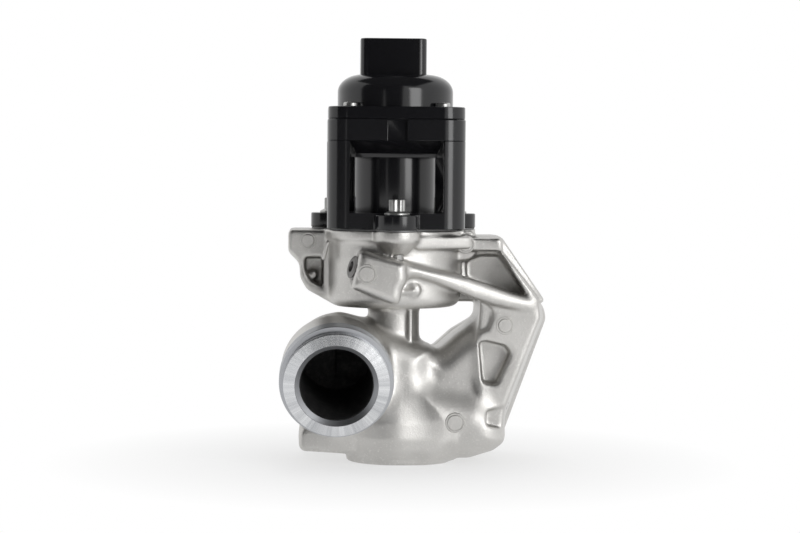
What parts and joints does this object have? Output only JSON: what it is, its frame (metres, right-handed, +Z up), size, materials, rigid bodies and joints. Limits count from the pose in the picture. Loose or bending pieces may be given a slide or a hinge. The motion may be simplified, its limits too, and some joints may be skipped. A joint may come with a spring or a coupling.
{
  "type": "egr valve",
  "caption": "Electric exhaust gas recirculation valve: cast aluminium housing with outlet spigot and coolant arm, poppet valve, and a black screw actuator with a connector on top.",
  "frame": {"origin": "where the valve's axis meets the machined bottom face of the casting", "axes": "+Z up along the valve's axis to the connector, +Y to the mounting face, -Y to the outlet spigot"},
  "size_m": [0.1095, 0.0739, 0.1682],
  "materials": {
    "cast_aluminium": "die cast, fine blasted grain",
    "turned_aluminium": "turned",
    "seat_steel": "turned and ground",
    "zinc_steel": "zinc plated",
    "dark_steel": "dark plated",
    "spring_steel": "drawn wire",
    "bearing_steel": "ground",
    "core_steel": "stamped sheets",
    "gasket_steel": "coated sheet",
    "bronze": "sintered",
    "copper": "enamelled wire",
    "tinned_brass": "tinned",
    "black_rubber": "moulded",
    "black_resin": "moulded, half gloss",
    "black_resin_can": "coated, glossy",
    "board_green": "solder mask",
    "chip_black": "moulded",
    "white_resin": "moulded",
    "magnet_grey": "sintered and coated"
  },
  "bodies": {
    "housing": {"valve_housing": "cast_aluminium", "seat_ring": "seat_steel", "core_plug": "zinc_steel", "guide_bush": "bronze", "stem_seal": "black_rubber", "soot_shield": "seat_steel", "coolant_plug": "dark_steel", "port_seals": "black_rubber", "jacket_gasket": "gasket_steel", "return_spring": "spring_steel", "motor_housing": "black_resin", "motor_can": "black_resin_can", "stator_core": "core_steel", "stator_coils": "copper", "bearing_bracket": "turned_aluminium", "bearing_outer_ring": "bearing_steel", "motor_boss": "turned_aluminium", "boss_seal": "black_rubber", "shaft_bush": "bronze", "journal_bush": "bronze", "sensor_cover": "black_resin", "cover_seal": "black_rubber", "cover_screws": "zinc_steel", "terminals": "tinned_brass", "sensor_board": "board_green", "board_chips": "chip_black", "sensor_spring": "spring_steel", "actuator_bolts": "zinc_steel"},
    "rotor": {"screw_sleeve": "bearing_steel", "rotor_magnet": "magnet_grey", "bearing_inner_ring": "bearing_steel"},
    "ball_set": {"bearing_balls": "bearing_steel", "bearing_cage": "bronze"},
    "screw": {"screw_shaft": "bearing_steel"},
    "valve": {"poppet_valve": "seat_steel", "spring_retainer": "zinc_steel", "collets": "zinc_steel"},
    "plunger": {"sensor_plunger": "white_resin", "sensor_magnet": "magnet_grey"}
  },
  "joints": [
    {"name": "rotor_spin", "type": "hinge", "parent": "housing", "child": "rotor", "pos_m": [0, 0, 0.1274], "axis": [0, 0, 1], "range_deg": [0, 540.5]},
    {"name": "ball_set_spin", "type": "hinge", "parent": "housing", "child": "ball_set", "pos_m": [0, 0, 0.1274], "axis": [0, 0, 1], "range_deg": [0, 227]},
    {"name": "screw_slide", "type": "slide", "parent": "housing", "child": "screw", "axis": [0, 0, -1], "range_m": [0, 0.006]},
    {"name": "valve_lift", "type": "slide", "parent": "housing", "child": "valve", "axis": [0, 0, -1], "range_m": [0, 0.006], "stiffness_N_per_m": 2500, "springref_m": -0.006, "deforming": ["return_spring"]},
    {"name": "plunger_slide", "type": "slide", "parent": "housing", "child": "plunger", "axis": [0, 0, -1], "range_m": [0, 0.006], "deforming": ["sensor_spring"]}
  ],
  "couplings": [
    {"joint": "rotor_spin", "follows": "valve_lift", "rad_per_m": 1570.8},
    {"joint": "ball_set_spin", "follows": "valve_lift", "rad_per_m": 657.22},
    {"joint": "screw_slide", "follows": "valve_lift", "ratio": 1},
    {"joint": "plunger_slide", "follows": "valve_lift", "ratio": 1}
  ]
}
